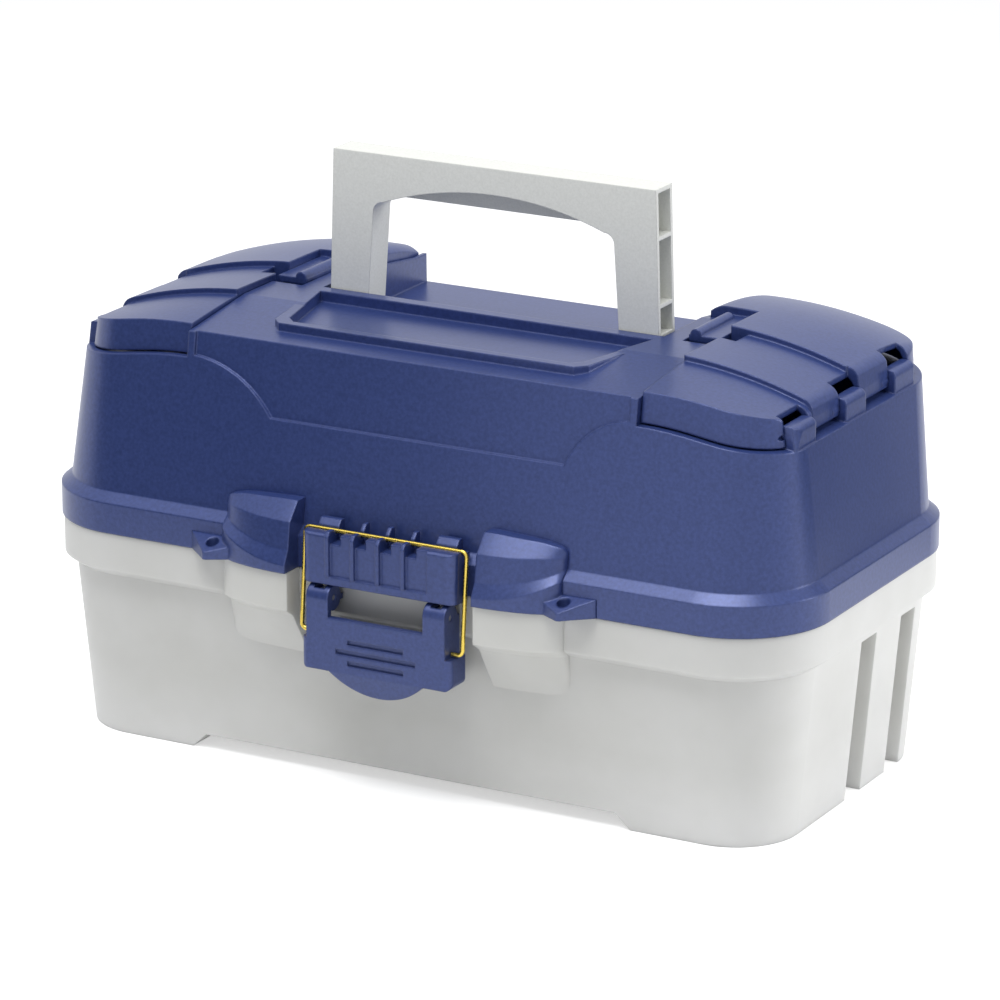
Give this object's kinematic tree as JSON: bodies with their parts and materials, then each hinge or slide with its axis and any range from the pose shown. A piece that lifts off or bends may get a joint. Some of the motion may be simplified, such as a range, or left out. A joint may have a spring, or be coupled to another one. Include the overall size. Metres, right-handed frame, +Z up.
{
  "type": "fishing tackle box",
  "caption": "Portable hinged tackle box with a bail latch, fold-down handle, lift-out cantilever trays inside and top access lids over end compartments.",
  "frame": {"origin": "on the floor under the middle of the box", "axes": "+X along the box's length, +Y from the latch to the rear hinge, +Z up"},
  "size_m": [0.362, 0.2084, 0.2516],
  "materials": {
    "blue_lid": "moulded navy blue plastic with a fine pearl and a satin sheen",
    "frosted_base": "frosted translucent plastic",
    "grey_handle": "moulded light grey plastic, fine grain",
    "brass_wire": "drawn wire, satin",
    "tray_plastic": "moulded light grey plastic",
    "divider_plastic": "moulded pale plastic",
    "steel_pin": "drawn steel"
  },
  "bodies": {
    "base": {"base_shell": "frosted_base", "hinge_pin_left": "steel_pin", "hinge_pin_right": "steel_pin", "latch_pins": "steel_pin", "base_arm_rivets": "steel_pin"},
    "lid": {"lid_shell": "blue_lid", "latch_catch": "blue_lid", "compartment_left": "blue_lid", "compartment_right": "blue_lid", "tie_ear_left": "blue_lid", "tie_ear_right": "blue_lid", "access_hinge_pin_left": "steel_pin", "access_hinge_pin_right": "steel_pin"},
    "access_lid_left": {"access_lid_left": "blue_lid"},
    "access_lid_right": {"access_lid_right": "blue_lid"},
    "handle": {"handle": "grey_handle"},
    "latch_lever": {"latch_lever": "blue_lid"},
    "latch_bail": {"latch_bail": "brass_wire"},
    "front_arms": {"front_arm_left": "steel_pin", "front_arm_right": "steel_pin"},
    "rear_arms": {"rear_arm_left": "steel_pin", "rear_arm_right": "steel_pin"},
    "lower_tray": {"lower_tray": "tray_plastic", "lower_tray_dividers": "divider_plastic", "lower_tray_rivets": "steel_pin"},
    "upper_tray": {"upper_tray": "tray_plastic", "upper_tray_dividers": "divider_plastic", "upper_tray_rivets": "steel_pin"}
  },
  "joints": [
    {"name": "lid_hinge", "type": "hinge", "parent": "base", "child": "lid", "pos_m": [0, 0.0997, 0.0944], "axis": [-1, 0, 0], "range_deg": [0, 110]},
    {"name": "front_arms_swing", "type": "hinge", "parent": "base", "child": "front_arms", "pos_m": [0, 0.029, 0.0576], "axis": [-1, 0, 0], "range_deg": [0, 54]},
    {"name": "rear_arms_swing", "type": "hinge", "parent": "base", "child": "rear_arms", "pos_m": [0, 0.072, 0.0576], "axis": [-1, 0, 0], "range_deg": [0, 54]},
    {"name": "lower_tray_level", "type": "hinge", "parent": "front_arms", "child": "lower_tray", "pos_m": [0, -0.025, 0.09], "axis": [1, 0, 0], "range_deg": [0, 54]},
    {"name": "upper_tray_level", "type": "hinge", "parent": "front_arms", "child": "upper_tray", "pos_m": [0, -0.07, 0.117], "axis": [1, 0, 0], "range_deg": [0, 54]},
    {"name": "access_right_hinge", "type": "hinge", "parent": "lid", "child": "access_lid_right", "pos_m": [0.1632, 0, 0.172], "axis": [0, 1, 0], "range_deg": [0, 110]},
    {"name": "access_left_hinge", "type": "hinge", "parent": "lid", "child": "access_lid_left", "pos_m": [-0.1632, 0, 0.172], "axis": [0, -1, 0], "range_deg": [0, 110]},
    {"name": "handle_fold", "type": "hinge", "parent": "lid", "child": "handle", "pos_m": [0, 0.0037, 0.18], "axis": [-1, 0, 0], "range_deg": [0, 90]},
    {"name": "lever_swing", "type": "hinge", "parent": "base", "child": "latch_lever", "pos_m": [0, -0.0987, 0.0865], "axis": [-1, 0, 0], "range_deg": [0, 85]},
    {"name": "bail_swing", "type": "hinge", "parent": "lid", "child": "latch_bail", "pos_m": [0, -0.0946, 0.1144], "axis": [-1, 0, 0], "range_deg": [0, 100]}
  ],
  "couplings": [
    {"joint": "front_arms_swing", "follows": "lid_hinge", "ratio": 0.49},
    {"joint": "rear_arms_swing", "follows": "lid_hinge", "ratio": 0.49},
    {"joint": "lower_tray_level", "follows": "lid_hinge", "ratio": 0.49},
    {"joint": "upper_tray_level", "follows": "lid_hinge", "ratio": 0.49}
  ]
}
